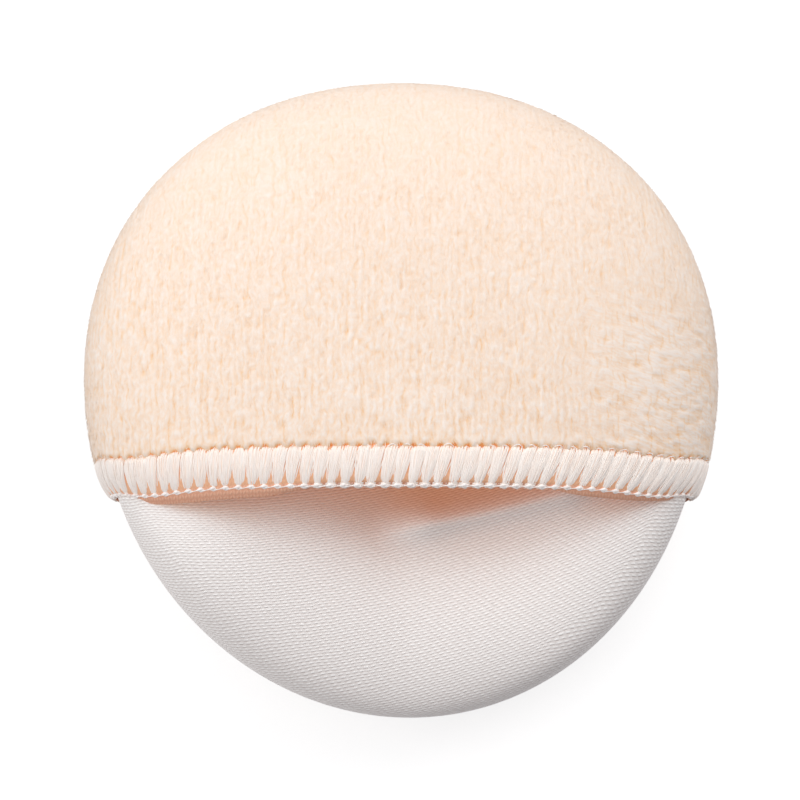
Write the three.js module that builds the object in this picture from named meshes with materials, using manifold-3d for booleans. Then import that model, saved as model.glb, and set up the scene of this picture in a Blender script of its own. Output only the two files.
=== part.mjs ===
import * as THREE from "three";
import { mergeVertices } from "three/addons/utils/BufferGeometryUtils.js";
import Module from "manifold-3d";

// A round powder puff with a finger pocket, in millimetres, +Z up.
// It lies on its velour face at z = 0, the pocket is on top and its mouth faces -Y.
// The origin is the middle of the resting face.

// Plan
const PUFF_WIDTH = 80; // across the widest part of the pocket
const PUFF_LENGTH = 81.1; // from the front of the satin to the rear of the pocket
const WIDEST_SHIFT = 2.75; // of the widest line, to the rear of the middle
const SHOULDER_POWER = 2.12; // squareness of the rear outline, where 2 is an ellipse
const FRONT_DRIFT = 1.1; // of the front of the puff to the right, as it was sewn

// Heights
const SEAM_HEIGHT = 9; // of the rim seam over the resting face
const SWELL_EASE = 0.65; // of the widest line over the turned-in edges and their stitches
const PAD_DOME = 8; // from the widest line to the crown of the pad, before its dent
const FINGER_ROOM = 8.5; // from that crown to the crown of the pocket
const PAD_POWER = 2.4; // fullness of the pad's dome, where 2 is an ellipse
const POCKET_POWER = 2.5; // fullness of the pocket's dome

// Cloth and seams
const VELOUR = 1.5; // thickness with the pile pressed down
const SATIN = 0.6;
const CLEARANCE = 0.3; // between pieces that touch
const SEAM_TUCK = 2.4; // how far the seam is drawn in behind the swell of the pad
const SEAM_ALLOWANCE = 4; // width of the turned-in edges
const SEAM_LINE = 1.5; // from the fold of the seam to its stitches
const SEAM_STITCH = 3;
const SEAM_STEP_START = 2.5; // in front of the lip, where the satin begins to step down at the rim
const SEAM_STEP = 8; // length of that step
const FACE_SWELL = 0.2; // of the face beyond the seam
const FACE_ROUNDING = 13; // width of the rounding from the face's swell to its flat

// Dent that the fingers press into the pad, and the two cheeks beside it
const DENT_DEPTH = 7.5;
const DENT_WIDTH = 17; // half-widths at which the dent is a third as deep
const DENT_LENGTH = 16;
const DENT_X = 1;
const DENT_Y = -5.7;
const CHEEK_RISE = 5;
const CHEEK_X = 27;
const CHEEK_Y = -16.7;
const CHEEK_SPREAD = 9;

// Mouth of the pocket and its three-thread overlock
const MOUTH_Y = -13.1; // of the lip at the widest line
const MOUTH_LEAN = 2.5; // degrees that the lip leans forward over the satin
const THREAD = 0.4;
const STITCH = 1.65;
const STITCH_SLANT = 0.6; // how far a stitch moves along the lip from its edge to the needle line
const HEM = 4; // from the lip to the needle line
const LIP_WRAP = 0.33; // share of the lip's thickness that an edge turn reaches round it
const OUTER_THREAD_TUCK = 1; // radians into the rim's tuck at which the outer threads end
const INNER_THREAD_RISE = 3; // over the widest line at which the inner thread ends

// Fineness of the meshes
const ROUND = 40;
const DOME_STEPS = 8;
const TUCK_STEPS = 3;

// Outlines in plan, about the point on the widest line
const outline = (half, rear, front) => ({ half, rear, front });
const grown = (o, by) => outline(o.half + by, o.rear + by, o.front + by);
const between = (a, b, share) =>
  outline(
    THREE.MathUtils.lerp(a.half, b.half, share),
    THREE.MathUtils.lerp(a.rear, b.rear, share),
    THREE.MathUtils.lerp(a.front, b.front, share),
  );
const LAYER = VELOUR + CLEARANCE;
const REAR = PUFF_LENGTH / 2 - WIDEST_SHIFT;
const FRONT = PUFF_LENGTH / 2 + WIDEST_SHIFT;
const PAD = outline(PUFF_WIDTH / 2 - LAYER, REAR - LAYER, FRONT);
const POCKET = grown(PAD, LAYER);
const SEAM = grown(PAD, -SEAM_TUCK);
const FACE = grown(SEAM, FACE_SWELL);

// Levels
const FACE_SWELL_HEIGHT = SEAM_HEIGHT / 2;
const FACE_TOP = SEAM_HEIGHT - CLEARANCE / 2;
const POCKET_SEAM = SEAM_HEIGHT + CLEARANCE / 2;
const THREAD_LAYER = THREAD + 3 * CLEARANCE;
const SWELL = POCKET_SEAM + LAYER + SATIN + THREAD_LAYER + SWELL_EASE;
const POCKET_DOME = PAD_DOME + FINGER_ROOM;
const LEAN = Math.tan(THREE.MathUtils.degToRad(MOUTH_LEAN));

// Height at which the satin enters the seam: it steps up over the pocket's turned-in edge.
function satinSeam(x, y) {
  const end = MOUTH_Y - SEAM_STEP_START;
  const onPocket = THREE.MathUtils.smoothstep(y, end - SEAM_STEP, end);
  return POCKET_SEAM + LAYER * onPocket;
}

// How far the pad stands over its plain dome: two cheeks less the dent, fading to the rim.
function relief(x, y) {
  const ahead = y - WIDEST_SHIFT;
  const reach = ahead > 0 ? PAD.rear : PAD.front;
  const fade = 1 - Math.min(1, Math.hypot(x / PAD.half, ahead / reach)) ** 6;
  const hill = (dx, dy) => Math.exp(-dx * dx - dy * dy);
  const cheek = hill(
    (Math.abs(x) - CHEEK_X) / CHEEK_SPREAD,
    (y - CHEEK_Y) / CHEEK_SPREAD,
  );
  const dent = hill((x - DENT_X) / DENT_WIDTH, (y - DENT_Y) / DENT_LENGTH);
  return fade * (CHEEK_RISE * cheek - DENT_DEPTH * dent);
}

// Sideways drift of everything in front of the widest line.
function drift(y) {
  return FRONT_DRIFT * (Math.min(0, y - WIDEST_SHIFT) / FRONT) ** 2;
}

// Point of an outline in plan, at a turn round it and a share of the way out to it.
function plan(o, turn, share = 1) {
  const across = Math.cos(turn);
  const along = Math.sin(turn);
  const power = along > 0 ? 2 / SHOULDER_POWER : 1;
  const reach = along > 0 ? o.rear : o.front;
  const x = share * o.half * Math.sign(across) * Math.abs(across) ** power;
  const y = WIDEST_SHIFT + share * reach * Math.sign(along) * Math.abs(along) ** power;
  return new THREE.Vector2(x + drift(y), y);
}

// A ring of points on an outline. Each takes its height from the pad's point at the same
// turn and share, so that layers that lie on each other bend alike.
function ring(o, height, share = 1) {
  return Array.from({ length: ROUND }, (_, i) => {
    const turn = (2 * Math.PI * i) / ROUND;
    const at = plan(o, turn, share);
    const pad = plan(PAD, turn, share);
    const z = typeof height === "function" ? height(pad.x, pad.y) : height;
    return new THREE.Vector3(at.x, at.y, z);
  });
}

// Point on the axis of the outlines, where a skin closes.
const pole = (height) => [
  new THREE.Vector3(
    0,
    WIDEST_SHIFT,
    typeof height === "function" ? height(0, WIDEST_SHIFT) : height,
  ),
];

// A skin at a depth under a dome keeps that depth straight down over the crown and turns it
// inwards at the rim. These give its outline and its height, at shares of the way out and up.
const domeOutline = (o, depth, out) => grown(o, -depth * out ** 4);
const domeHeight = (rise, depth, up) => SWELL + rise * up - depth * (1 - (1 - up) ** 4);

// Skin of a domed panel from its crown to its widest line, at a depth under its outside.
function dome(o, rise, power, depth, lift = () => 0) {
  const level = (up) => (x, y) => domeHeight(rise, depth, up) + lift(x, y);
  const rings = [pole(level(1))];
  for (let i = 1; i <= DOME_STEPS; i++) {
    const slope = (Math.PI / 2) * (i / DOME_STEPS);
    const out = Math.sin(slope) ** (2 / power);
    const up = i < DOME_STEPS ? Math.cos(slope) ** (2 / power) : 0;
    rings.push(ring(domeOutline(o, depth, out), level(up), out));
  }
  return rings;
}

// Skin that rounds from one outline and level into another, the last ring lying flat.
function tuck(from, to, fromLevel, toLevel) {
  return Array.from({ length: TUCK_STEPS }, (_, i) => {
    const slope = (Math.PI / 2) * ((i + 1) / TUCK_STEPS);
    const end = typeof toLevel === "function" ? toLevel : () => toLevel;
    const level = (x, y) => THREE.MathUtils.lerp(fromLevel, end(x, y), Math.sin(slope));
    return ring(between(to, from, Math.cos(slope)), level);
  });
}

// A closed body from rings listed from its upper pole round to its lower pole. Each four-sided
// face is split from its inner ring, so that skins under each other have the same facets.
function lofted(rings) {
  const index = [];
  let start = 0;
  rings.slice(1).forEach((next, r) => {
    const size = rings[r].length;
    const after = start + size;
    const inwards = next[0].x < rings[r][0].x;
    for (let i = 0; i < ROUND; i++) {
      const j = (i + 1) % ROUND;
      if (size === 1) index.push(start, after + i, after + j);
      else if (next.length === 1) index.push(start + i, after, start + j);
      else if (inwards) index.push(start + i, after + i, start + j, start + j, after + i, after + j);
      else index.push(start + i, after + i, after + j, start + i, after + j, start + j);
    }
    start = after;
  });
  return new THREE.BufferGeometry().setFromPoints(rings.flat()).setIndex(index);
}

// Face panel: its inside first, then the turned-in edge, then its outside.
function facePanel() {
  const flat = grown(FACE, -FACE_ROUNDING);
  const skin = (inset, floor, seam) => {
    const rings = [pole(floor)];
    for (let i = 0; i <= DOME_STEPS / 2; i++) {
      const slope = (Math.PI / 2) * (i / (DOME_STEPS / 2));
      const level = THREE.MathUtils.lerp(FACE_SWELL_HEIGHT, floor, Math.cos(slope));
      rings.push(ring(grown(between(flat, FACE, Math.sin(slope)), -inset), level));
    }
    return [...rings, ...tuck(grown(FACE, -inset), SEAM, FACE_SWELL_HEIGHT, seam)];
  };
  const edge = grown(SEAM, -SEAM_ALLOWANCE);
  return lofted([
    ...skin(VELOUR, VELOUR, FACE_TOP - VELOUR),
    ring(edge, FACE_TOP - VELOUR),
    ring(edge, FACE_TOP),
    ...skin(0, 0, FACE_TOP).reverse(),
  ]);
}

// Upper panel of even thickness: outside, turned-in edge, inside.
function upperPanel(o, rise, power, thickness, seam, lift) {
  const edge = grown(SEAM, -SEAM_ALLOWANCE);
  const inside = grown(o, -thickness);
  const raised = (x, y) => seam(x, y) + thickness;
  return lofted([
    ...dome(o, rise, power, 0, lift),
    ...tuck(o, SEAM, SWELL, seam),
    ring(edge, seam),
    ring(edge, raised),
    ...tuck(inside, SEAM, SWELL, raised).reverse(),
    ...dome(o, rise, power, thickness, lift).reverse(),
  ]);
}

// Filling: it fills the space between the panels and is grooved round the turned-in edges.
function filling() {
  const under = SATIN + CLEARANCE;
  const core = grown(SEAM, -SEAM_ALLOWANCE - CLEARANCE);
  const side = grown(FACE, -LAYER);
  const overEdges = (x, y) => satinSeam(x, y) + SATIN + THREAD_LAYER;
  const underEdges = FACE_TOP - VELOUR - THREAD_LAYER;
  const rings = [
    ...dome(PAD, PAD_DOME, PAD_POWER, under, relief),
    ring(SEAM, overEdges),
    ring(core, overEdges),
    ring(core, underEdges),
    ring(side, underEdges),
  ];
  const flat = grown(side, -FACE_ROUNDING);
  for (let i = DOME_STEPS / 2; i >= 0; i--) {
    const slope = (Math.PI / 2) * (i / (DOME_STEPS / 2));
    const level = THREE.MathUtils.lerp(FACE_SWELL_HEIGHT, LAYER, Math.cos(slope));
    rings.push(ring(between(flat, side, Math.sin(slope)), level));
  }
  return lofted([...rings, pole(LAYER)]);
}

// Curve across the pocket's velour from left to right, at a distance behind the lip.
function lipCurve(behind, skin, tuckEnd) {
  const foot = POCKET_SEAM + skin;
  const ahead = (z) => MOUTH_Y + behind - LEAN * (z - SWELL) - WIDEST_SHIFT;
  const level = (out) =>
    domeHeight(POCKET_DOME, skin, (1 - out ** POCKET_POWER) ** (1 / POCKET_POWER));
  const wide = (out) => domeOutline(POCKET, skin, out);
  let crown = 0;
  for (let i = 0; i < 40; i++)
    crown = Math.abs(ahead(level(crown))) / wide(crown).front;
  const half = [];
  const add = (o, out, z) => {
    const along = ahead(z) / o.front;
    const x = o.half * Math.sqrt(Math.max(0, out * out - along * along));
    half.push(new THREE.Vector3(x, ahead(z) + WIDEST_SHIFT, z));
  };
  const steps = 10 * DOME_STEPS;
  for (let i = 0; i < steps; i++) {
    const turn = (Math.PI / 2) * (i / steps);
    const out = Math.hypot(crown * Math.cos(turn), Math.sin(turn));
    if (level(out) > SWELL + tuckEnd.rise) add(wide(out), out, level(out));
  }
  if (tuckEnd.turn > 0)
    for (let i = 0; i <= steps / 4; i++) {
      const turn = tuckEnd.turn * (i / (steps / 4));
      add(
        between(SEAM, wide(1), Math.cos(turn)),
        1,
        THREE.MathUtils.lerp(SWELL, foot, Math.sin(turn)),
      );
    }
  const left = half.slice(1).map((p) => new THREE.Vector3(-p.x, p.y, p.z));
  const whole = [...left.reverse(), ...half];
  whole.forEach((p) => (p.x += drift(p.y)));
  return new THREE.CatmullRomCurve3(whole);
}

// Places points beside the lip: how far along it, behind it and off the velour's skin.
function lipFace(skin, side, tuckEnd) {
  const curves = new Map();
  const curve = (behind) => {
    if (!curves.has(behind)) {
      const made = lipCurve(behind, skin, tuckEnd);
      made.arcLengthDivisions = 800;
      curves.set(behind, made);
    }
    return curves.get(behind);
  };
  const length = curve(0).getLength();
  const place = (along, behind, off) => {
    const share = THREE.MathUtils.clamp(along / length, 0, 1);
    const forward = curve(behind).getTangentAt(share);
    const before = curve(behind - HEM / 4).getPointAt(share);
    const back = curve(behind + HEM / 4).getPointAt(share).sub(before);
    const out = forward.cross(back).normalize();
    return curve(behind).getPointAt(share).addScaledVector(out, side * off);
  };
  return { length, place };
}

// A thread: a round tube of few sides through the points, closed at both ends.
function thread(points, sides) {
  const rim = [];
  const normal = new THREE.Vector3();
  points.forEach((p, i) => {
    const before = points[Math.max(0, i - 1)];
    const after = points[Math.min(points.length - 1, i + 1)];
    const way = after.clone().sub(before).normalize();
    if (i === 0) normal.set(0, 0, 1);
    normal.addScaledVector(way, -normal.dot(way)).normalize();
    const side = way.clone().cross(normal);
    for (let s = 0; s < sides; s++) {
      const turn = (2 * Math.PI * s) / sides;
      const spoke = normal.clone().multiplyScalar(Math.cos(turn));
      spoke.addScaledVector(side, Math.sin(turn));
      rim.push(p.clone().addScaledVector(spoke, THREAD / 2));
    }
  });
  const index = [];
  for (let i = 0; i + 1 < points.length; i++)
    for (let s = 0; s < sides; s++) {
      const a = i * sides + s;
      const b = i * sides + ((s + 1) % sides);
      index.push(a, b, b + sides, a, b + sides, a + sides);
    }
  const last = (points.length - 1) * sides;
  for (let s = 1; s + 1 < sides; s++) {
    index.push(0, s + 1, s);
    index.push(last, last + s, last + s + 1);
  }
  return new THREE.BufferGeometry().setFromPoints(rim).setIndex(index);
}

// Least gap between turns of one thread, measured on points along it.
function leastGap(points) {
  const fine = [];
  points.slice(1).forEach((p, i) => {
    for (let k = 0; k < 4; k++) fine.push(points[i].clone().lerp(p, k / 4));
  });
  const run = [0];
  fine.slice(1).forEach((p, i) => run.push(run[i] + p.distanceTo(fine[i])));
  let least = Infinity;
  for (let i = 0; i < fine.length; i++)
    for (let j = i + 1; j < fine.length; j++)
      if (run[j] - run[i] > Math.PI * STITCH && run[j] - run[i] < 20 * STITCH)
        least = Math.min(least, fine[i].distanceTo(fine[j]));
  return least - THREAD;
}

const OFF = CLEARANCE + THREAD / 2;
const EDGE_EASE = CLEARANCE / 2; // how far past the lip a thread runs before it turns round it

// Upper looper: on the outer face it runs up to the needle line, turns, comes back beside
// itself and passes round the lip to the next stitch.
function upperLooper() {
  const { length, place } = lipFace(0, 1, { rise: 0, turn: OUTER_THREAD_TUCK });
  const stitches = Math.floor(length / STITCH) - 1;
  const start = (length - stitches * STITCH) / 2;
  const leg = STITCH / 4;
  const wrap = -LIP_WRAP * VELOUR;
  const points = [];
  for (let i = 0; i < stitches; i++) {
    const at = start + (i + 0.5) * STITCH;
    const lean = (behind) => at + STITCH_SLANT * (behind / HEM - 0.5);
    const add = (shift, behind, off) => points.push(place(lean(behind) + shift, behind, off));
    add(-leg, -EDGE_EASE, OFF);
    add(-leg, (5 / 6) * HEM, OFF);
    add(-leg / 2, HEM, OFF);
    add(leg / 2, HEM, OFF);
    add(leg, (5 / 6) * HEM, OFF);
    add(leg, -EDGE_EASE, OFF);
    if (i + 1 < stitches) {
      add(1.4 * leg, -EDGE_EASE - OFF, wrap);
      add(2.6 * leg, -EDGE_EASE - OFF, wrap);
    }
  }
  return points;
}

// Lower looper: a zigzag on the inner face, from the lip to the needle line.
function lowerLooper() {
  const { length, place } = lipFace(VELOUR, -1, { rise: INNER_THREAD_RISE, turn: 0 });
  const stitches = Math.floor(length / STITCH) - 1;
  const start = (length - stitches * STITCH) / 2;
  const points = [];
  for (let i = 0; i < stitches; i++) {
    const at = start + (i + 0.5) * STITCH;
    points.push(place(at - STITCH / 2, HEM / 8, OFF));
    points.push(place(at - STITCH / 8, HEM, OFF));
    points.push(place(at + STITCH / 8, HEM, OFF));
  }
  return points;
}

// Needle thread: it runs along the needle line, waving past each turn of the upper looper.
function needleThread() {
  const { length, place } = lipFace(0, 1, { rise: 0, turn: OUTER_THREAD_TUCK });
  const stitches = Math.floor(length / STITCH) - 1;
  const start = (length - stitches * STITCH) / 2;
  const line = HEM + THREAD + CLEARANCE;
  return Array.from({ length: 2 * stitches }, (_, i) =>
    place(start + ((i + 0.5) * STITCH) / 2, line + (i % 2) * CLEARANCE, OFF),
  );
}

// Thread of the rim seam: once round the turned-in edges, with a wave for each stitch.
function rimThread(level, side) {
  const line = grown(SEAM, -SEAM_LINE);
  const radius = (2 * line.half + line.rear + line.front) / 4;
  const stitches = Math.round((2 * Math.PI * radius) / SEAM_STITCH);
  return Array.from({ length: 2 * stitches - 1 }, (_, i) => {
    const turn = (Math.PI * (i + 1)) / stitches - Math.PI / 2;
    const at = plan(line, turn);
    const pad = plan(PAD, turn);
    const off = OFF + (i % 2) * CLEARANCE;
    return new THREE.Vector3(at.x, at.y, level(pad.x, pad.y) + side * off);
  });
}

// Cuts away the front of the pocket's dome along the leaning plane of the lip.
async function cutAtMouth(geometry) {
  const wasm = await Module();
  wasm.setup();
  const solid = (g) => {
    const plain = g.clone();
    plain.deleteAttribute("normal");
    plain.deleteAttribute("uv");
    const merged = mergeVertices(plain, 1e-4);
    return new wasm.Manifold(
      new wasm.Mesh({
        numProp: 3,
        vertProperties: merged.attributes.position.array,
        triVerts: new Uint32Array(merged.index.array),
      }),
    );
  };
  const size = 2 * (PUFF_WIDTH + PUFF_LENGTH);
  const cutter = new THREE.BoxGeometry(size, size, size).translate(0, -size / 2, 0);
  cutter.rotateX(Math.atan(LEAN)).translate(0, MOUTH_Y, SWELL);
  const mesh = solid(geometry).subtract(solid(cutter)).getMesh();
  return new THREE.BufferGeometry()
    .setAttribute("position", new THREE.BufferAttribute(mesh.vertProperties, 3))
    .setIndex(new THREE.BufferAttribute(mesh.triVerts, 1));
}

const puff = new THREE.Group();
puff.name = "powder_puff";
const velour = new THREE.MeshStandardMaterial({ color: 0xfae7d4, roughness: 0.95, metalness: 0 });
const satin = new THREE.MeshStandardMaterial({ color: 0xe9e4e0, roughness: 0.55, metalness: 0 });
const wadding = new THREE.MeshStandardMaterial({ color: 0xf4f2ee, roughness: 1, metalness: 0 });
const white = new THREE.MeshStandardMaterial({ color: 0xf0e6dc, roughness: 0.7, metalness: 0 });

function piece(name, geometry, material) {
  const mesh = new THREE.Mesh(geometry, material);
  mesh.name = name;
  puff.add(mesh);
}

const pocketDome = upperPanel(POCKET, POCKET_DOME, POCKET_POWER, VELOUR, () => POCKET_SEAM);
const upper = upperLooper();
const lower = lowerLooper();
console.log("least gap in the upper looper", leastGap(upper).toFixed(2), "mm");
console.log("least gap in the lower looper", leastGap(lower).toFixed(2), "mm");

piece("face_velour", facePanel(), velour);
piece("filling_pad", filling(), wadding);
piece("satin_back", upperPanel(PAD, PAD_DOME, PAD_POWER, SATIN, satinSeam, relief), satin);
piece("pocket_velour", await cutAtMouth(pocketDome), velour);
piece("overlock_upper_looper", thread(upper, 5), white);
piece("overlock_lower_looper", thread(lower, 4), white);
piece("overlock_needle_thread", thread(needleThread(), 4), white);
piece("rim_needle_thread", thread(rimThread(() => FACE_TOP - VELOUR, -1), 4), white);
piece("rim_bobbin_thread", thread(rimThread((x, y) => satinSeam(x, y) + SATIN, 1), 4), white);

export default puff;
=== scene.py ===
import functools
import math

import bpy
import numpy as np
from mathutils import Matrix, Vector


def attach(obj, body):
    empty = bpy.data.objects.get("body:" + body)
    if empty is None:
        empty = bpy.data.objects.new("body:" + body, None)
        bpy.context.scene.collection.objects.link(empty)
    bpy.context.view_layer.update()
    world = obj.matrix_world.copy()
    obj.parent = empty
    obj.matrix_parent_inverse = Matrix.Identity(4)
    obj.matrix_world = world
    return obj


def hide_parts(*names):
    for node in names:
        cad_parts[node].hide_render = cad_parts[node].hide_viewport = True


# A round powder puff that lies on its velour face. The finger pocket is on top and its mouth faces -Y.
# All lengths in this script are millimetres; plant() turns them into the frame's metres.

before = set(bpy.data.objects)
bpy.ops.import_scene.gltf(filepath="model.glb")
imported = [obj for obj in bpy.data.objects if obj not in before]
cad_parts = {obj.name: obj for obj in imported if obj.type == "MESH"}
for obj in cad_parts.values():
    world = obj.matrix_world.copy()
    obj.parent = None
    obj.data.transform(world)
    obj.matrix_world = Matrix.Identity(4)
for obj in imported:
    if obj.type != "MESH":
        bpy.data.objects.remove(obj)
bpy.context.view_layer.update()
MM = 0.001
TURN = 2 * math.pi

# Outlines in plan, about the point on the widest line: half-width, reach to the rear, reach to the front
PAD = np.array([38.2, 36.0, 43.3])
POCKET = PAD + 1.8
SEAM = PAD - 2.4
FACE = SEAM + 0.2
FACE_FLAT = FACE - 13
WIDEST_Y = 2.75
FRONT_DRIFT = 1.1

# Powers of the superellipses of the outlines' rear and of the pocket's dome
REAR_POWER = 2.12
DOME_POWER = 2.5

# Levels
WIDEST_Z = 13.5
PAD_DOME = 8.0
POCKET_DOME = 16.5
POCKET_SEAM = 9.15
FACE_SEAM = 8.85
FACE_SWELL = 4.5

# Heights on the satin: the fingers' dent, the cheek on either side of it and the fold
DENT = 7.6
LEFT_CHEEK, RIGHT_CHEEK = 2.8, 1.4
FOLD = 3.0

# Cloth and pile
VELOUR = 1.5
SATIN = 0.6
TURNED_IN = 4
PILE = 0.95
WALE = 0.86
FIBRES = 49500

# Brushed streaks of the pile run down to the right by 13 degrees: cosine and sine
LAY_COS, LAY_SIN = 0.974, 0.225

# Mouth and hem. END_ROLL is the share of the hem's roll that is left at the ends of the lip
MOUTH_Y = -13.1
MOUTH_LEAN = math.tan(math.radians(2.5))
LIP_SAG = 0.65
LEFT_CURL, RIGHT_CURL = 1.3, 0.9
HEM = 4.0
HEM_LOW, HEM_HIGH = -1.2, 6.0
END_ROLL = 0.35
STITCH = 1.65

# Radius of the overlock's filaments and of its loops
FILAMENT = 0.085
LOOP = 0.075

# Share and tint of the light that cloth and yarn let through
VELOUR_LIGHT = 0.87, (0.98, 0.8, 0.6)
YARN_LIGHT = 0.85, (1.0, 0.9, 0.82)


def mix(a, b, share):
    """a where share is 0, b where it is 1, in proportion between."""
    return a + (b - a) * share


def ease(t):
    """0 up to t = 0 and 1 from t = 1, with a smooth S between."""
    t = np.clip(t, 0, 1)
    return t * t * (3 - 2 * t)


def hill(t):
    """Bell of height 1: the exponential of minus t squared."""
    return np.exp(-(t**2))


def unit(v):
    """Vectors brought to a length of 1."""
    return v / np.maximum(np.linalg.norm(v, axis=-1, keepdims=True), 1e-12)


def mottle(x, y, seed):
    """Smooth random field from -1 to 1: random values at whole places, eased in between."""
    table = np.random.default_rng(seed).random((256, 256)) * 2 - 1
    i, j = np.floor(x).astype(int), np.floor(y).astype(int)

    def row(k):
        return mix(table[i % 256, k % 256], table[(i + 1) % 256, k % 256], ease(x - i))

    return mix(row(j), row(j + 1), ease(y - j))


def between(grid, row, column, down, over):
    """Values of a grid at shares down and over from a point of it to the next ones."""
    if grid.ndim == 3:
        down, over = down[..., None], over[..., None]
    low = mix(grid[row, column], grid[row, column + 1], over)
    high = mix(grid[row + 1, column], grid[row + 1, column + 1], over)
    return mix(low, high, down)


def drift(y):
    """Sideways drift of the front of the puff, with the squared share of the way to its front."""
    return FRONT_DRIFT * (np.minimum(0, y - WIDEST_Y) / PAD[2]) ** 2


def plan(reach, turn, share):
    """Point of an outline in plan, at a turn round it and a share of the way out.

    The front half is an ellipse; the rear half is a superellipse, which is a little squarer.
    """
    half, rear, front = np.moveaxis(np.broadcast_to(reach, np.shape(turn) + (3,)), -1, 0)
    across, along = np.cos(turn), np.sin(turn)
    power = np.where(along > 0, 2 / REAR_POWER, 1.0)
    x = share * half * np.sign(across) * np.abs(across) ** power
    y = WIDEST_Y + share * np.where(along > 0, rear, front) * np.sign(along) * np.abs(along) ** power
    return x + drift(y), y


def fold(x, y):
    """Soft fold of the satin from the middle of the mouth to the right end of the lip.

    In front of its rounded crest the height falls off with two exponentials of the distance, behind it with a bell.
    """
    wide, rounded, fading = 3.5, 0.8, 8
    start, way = np.array([-3.5, -18.7]), np.array([31.0, 6.43])
    length = np.hypot(*way)
    along = ((x - start[0]) * way[0] + (y - start[1]) * way[1]) / length
    behind = ((y - start[1]) * way[0] - (x - start[0]) * way[1]) / length
    fade = ease(along / fading) * ease((length - along) / fading)
    away = np.hypot(behind, rounded) - rounded
    front = 0.6 * np.exp(-away) + 0.4 * np.exp(-away / wide)
    return FOLD * fade * np.where(behind < 0, front, hill(behind / wide))


def bell(x, y, at, left, right, front, rear):
    """Bell-shaped hill of height 1, with its own width on each of its four sides."""
    aside, ahead = x - at[0], y - at[1]
    across = aside / np.where(aside < 0, left, right)
    along = ahead / np.where(ahead < 0, front, rear)
    return np.exp(-(across**2) - along**2)


def dent(x, y):
    """Height of the pad over its plain dome: a round cheek on either side and a fold, less the fingers' dent.

    All fade out to the rim with the 20th power of the share of the way out.
    """
    ahead = y - WIDEST_Y
    reach = np.where(ahead > 0, PAD[1], PAD[2])
    fade = 1 - np.minimum(1, np.hypot(x / PAD[0], ahead / reach)) ** 20
    left = LEFT_CHEEK * bell(x, y, (-28, -22), 10, 13, 17, 9)
    right = RIGHT_CHEEK * bell(x, y, (28, -15), 10, 10, 12, 11)
    press = DENT * bell(x, y, (7, -5.7), 13.5, 18, 16, 16)
    return fade * (left + right - press + fold(x, y))


def satin_seam(y):
    """Level at which the satin enters the rim seam: it steps up over the pocket's turned-in edge."""
    return POCKET_SEAM + 1.8 * ease((y + 23.6) / 8)


def quarter(way, start):
    """Angle of the quarter turn that is made as way goes from start to start + 1."""
    return np.clip(way - start, 0, 1) * math.pi / 2


def upper_panel(turn, way, depth, reach, rise, power, seam, lift):
    """Skin of an upper panel at a depth, which is taken straight down on the crown and inwards at the rim.

    way 0 to 1 goes from the crown to the widest line along a superellipse of the given power, 1 to 2 round the
    quarter ellipse that tucks it into the seam, and 2 to 3 along the turned-in edge.
    """
    out = np.sin(quarter(way, 0)) ** 0.8
    up = np.clip(1 - out**power, 0, 1) ** (1 / power)
    tuck = quarter(way, 1)
    edge = TURNED_IN * np.clip(way - 2, 0, 1)
    domed = reach - depth * out[..., None] ** 4
    tucked = mix(SEAM, reach - depth, np.cos(tuck)[..., None]) - edge[..., None]
    on_dome = way <= 1
    share = np.where(on_dome, out, 1.0)
    x, y = plan(np.where(on_dome[..., None], domed, tucked), turn, share)
    pad_x, pad_y = plan(PAD, turn, share)
    dome_z = WIDEST_Z + rise * up - depth * (1 - (1 - up) ** 4) + lift(pad_x, pad_y)
    tuck_z = mix(WIDEST_Z, seam(pad_y) + depth, np.sin(tuck))
    return np.stack([x, y, np.where(on_dome, dome_z, tuck_z)], -1)


def pocket_skin(turn, way, depth):
    """Skin of the pocket's plain dome, before it is cut at the mouth."""
    return upper_panel(turn, way, depth, POCKET, POCKET_DOME, DOME_POWER, lambda y: POCKET_SEAM, lambda x, y: 0.0)


def satin_skin(turn, way, depth):
    """Skin of the satin over the pad, whose dome is squarer at the sides than in the middle of the front."""
    power = 2.4 + 4 * np.abs(np.cos(turn)) ** 1.5
    return upper_panel(turn, way, depth, PAD, PAD_DOME, power, satin_seam, dent)


def face_skin(turn, way, depth):
    """Skin of the face panel at a depth inside it.

    way 0 to 1 crosses the flat that rests on the floor, 1 to 2 goes up a quarter ellipse to its swell,
    2 to 3 round the quarter ellipse into the seam, and 3 to 4 along the turned-in edge.
    """
    rise, tuck = quarter(way, 1), quarter(way, 2)
    edge = TURNED_IN * np.clip(way - 3, 0, 1)
    swelling = mix(FACE_FLAT, FACE, np.sin(rise)[..., None]) - depth
    tucked = mix(SEAM, FACE - depth, np.cos(tuck)[..., None]) - edge[..., None]
    below = way <= 2
    x, y = plan(np.where(below[..., None], swelling, tucked), turn, np.clip(way, 0, 1))
    level = mix(FACE_SWELL, depth, np.cos(rise))
    top = mix(FACE_SWELL, FACE_SEAM - depth, np.sin(tuck))
    return np.stack([x, y, np.where(below, level, top)], -1)


def lengths(points, axis=0):
    """Running length along an axis of a row or grid of points."""
    steps = np.linalg.norm(np.diff(points, axis=axis), axis=-1)
    return np.insert(np.cumsum(steps, axis), 0, 0.0, axis)


def evened(skin, last):
    """Function from a share of a meridian's length to the way along it, so that cells come out even."""
    ways = np.linspace(0, last, 2000)
    run = lengths(skin(np.zeros_like(ways), ways, 0.0))
    return lambda share: np.interp(share, run / run[-1], ways)


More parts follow.
